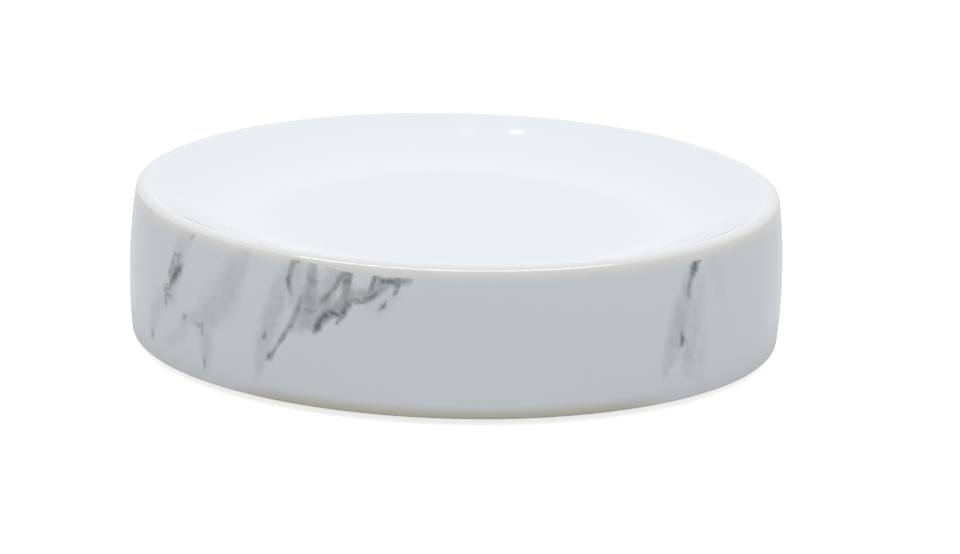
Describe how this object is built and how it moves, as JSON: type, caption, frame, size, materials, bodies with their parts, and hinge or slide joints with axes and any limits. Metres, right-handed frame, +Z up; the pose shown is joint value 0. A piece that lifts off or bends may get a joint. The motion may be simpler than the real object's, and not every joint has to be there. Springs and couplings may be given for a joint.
{
  "type": "soap dish",
  "caption": "Round glazed ceramic soap dish with a shallow flat-floored basin, a marble-veined wall and small non-slip pads under its foot ring.",
  "frame": {"origin": "centre of the plane that the dish rests on, under its four pads", "axes": "+Z up along the dish's axis of symmetry; -Y is the side that the picture shows, +X to its right"},
  "size_m": [0.11, 0.11, 0.0264],
  "materials": {
    "glazed_ceramic": "gloss",
    "pad_rubber": "satin"
  },
  "bodies": {
    "root": {"dish_body": "glazed_ceramic", "pad_front_right": "pad_rubber", "pad_back_right": "pad_rubber", "pad_back_left": "pad_rubber", "pad_front_left": "pad_rubber"}
  },
  "joints": []
}
